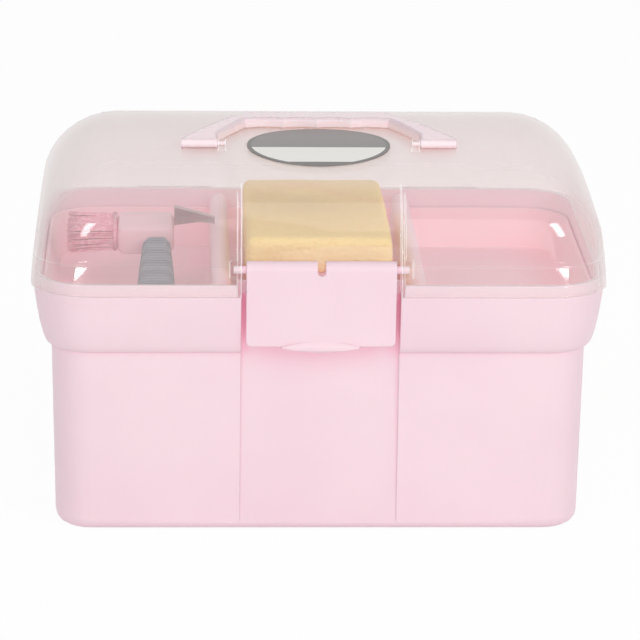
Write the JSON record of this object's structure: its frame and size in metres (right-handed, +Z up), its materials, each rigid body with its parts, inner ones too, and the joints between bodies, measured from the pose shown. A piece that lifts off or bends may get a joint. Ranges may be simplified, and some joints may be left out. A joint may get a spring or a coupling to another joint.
{
  "type": "horse grooming box",
  "caption": "Moulded carry box with a lift-out tray, clear hinged dome lid, snap latch, folding handle, blank oval label, sponge and hoof pick.",
  "frame": {"origin": "on the ground under the middle of the tub's base", "axes": "+X to the right seen from the front, along the box's longest side; +Y to the back, where the hinges are; +Z up"},
  "size_m": [0.2996, 0.2174, 0.2032],
  "materials": {
    "pink_plastic": "satin moulded",
    "handle_plastic": "satin moulded, a little paler",
    "clear_plastic": "glossy, lightly frosted, see-through",
    "pin_steel": "drawn wire",
    "tray_plastic": "satin moulded",
    "label_film": "printed film with a bare writing field",
    "sponge_foam": "open-cell foam",
    "grip_plastic": "ribbed, soft touch",
    "head_plastic": "satin moulded",
    "bristle_nylon": "nylon strands",
    "blade_steel": "stamped strip"
  },
  "bodies": {
    "tub": {"tub": "pink_plastic", "hinge_pin_left": "pin_steel", "hinge_pin_right": "pin_steel"},
    "lid": {"lid": "clear_plastic", "name_label": "label_film"},
    "latch": {"latch": "pink_plastic"},
    "handle": {"handle": "handle_plastic"},
    "tray": {"tray": "tray_plastic", "sponge": "sponge_foam", "hoof_pick_handle": "grip_plastic", "hoof_pick_head": "head_plastic", "hoof_pick_bristles": "bristle_nylon", "hoof_pick_blade": "blade_steel"}
  },
  "joints": [
    {"name": "lid_hinge", "type": "hinge", "parent": "tub", "child": "lid", "pos_m": [0, 0.10885, 0.1307], "axis": [-1, 0, 0], "range_deg": [0, 105]},
    {"name": "latch_hinge", "type": "hinge", "parent": "lid", "child": "latch", "pos_m": [0, -0.09935, 0.1447], "axis": [-1, 0, 0], "range_deg": [0, 100]},
    {"name": "handle_fold", "type": "hinge", "parent": "lid", "child": "handle", "pos_m": [0, -0.0425, 0.1971], "axis": [1, 0, 0], "range_deg": [0, 90]},
    {"name": "tray_lift", "type": "slide", "parent": "tub", "child": "tray", "axis": [0, 0, 1], "range_m": [0, 0.002]}
  ]
}
